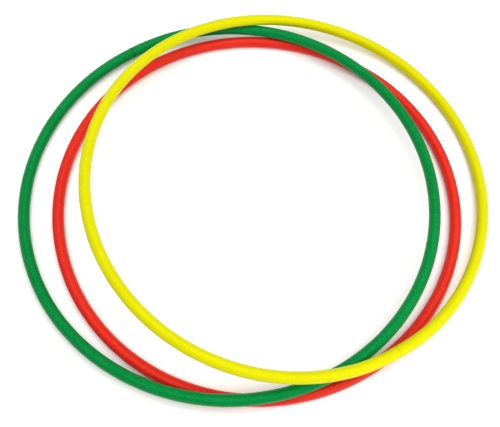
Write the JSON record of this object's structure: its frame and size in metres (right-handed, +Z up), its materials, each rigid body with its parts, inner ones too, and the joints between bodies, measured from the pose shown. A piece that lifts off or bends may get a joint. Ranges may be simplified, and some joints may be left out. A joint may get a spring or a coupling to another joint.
{
  "type": "rhythmic gymnastics hoop set",
  "caption": "Round hoops of hollow plastic tube, each closed by an inner ribbed plug and staples, lying loosely stacked on a floor.",
  "frame": {"origin": "on the floor, under the middle of the whole set", "axes": "+Z up off the floor, +X to the right and +Y away from the viewer, with the green hoop offset to -X and the yellow hoop to +X"},
  "size_m": [0.9264, 0.8452, 0.1119],
  "materials": {
    "red_plastic": "satin polyethylene tube, bright red",
    "green_plastic": "satin polyethylene tube, mid green",
    "yellow_plastic": "satin polyethylene tube, lemon yellow",
    "plug_plastic": "dark grey moulded plastic",
    "staple_steel": "galvanised steel wire"
  },
  "bodies": {
    "red_hoop": {"red_hoop_tube": "red_plastic", "red_hoop_plug": "plug_plastic", "red_hoop_staple_a": "staple_steel", "red_hoop_staple_b": "staple_steel"},
    "green_hoop": {"green_hoop_tube": "green_plastic", "green_hoop_plug": "plug_plastic", "green_hoop_staple_a": "staple_steel", "green_hoop_staple_b": "staple_steel"},
    "yellow_hoop": {"yellow_hoop_tube": "yellow_plastic", "yellow_hoop_plug": "plug_plastic", "yellow_hoop_staple_a": "staple_steel", "yellow_hoop_staple_b": "staple_steel"}
  },
  "joints": [
    {"name": "green_lift", "type": "slide", "parent": "red_hoop", "child": "green_hoop", "axis": [0, 0, 1], "range_m": [0, 0.25]},
    {"name": "yellow_lift", "type": "slide", "parent": "green_hoop", "child": "yellow_hoop", "axis": [0, 0, 1], "range_m": [0, 0.25]}
  ]
}
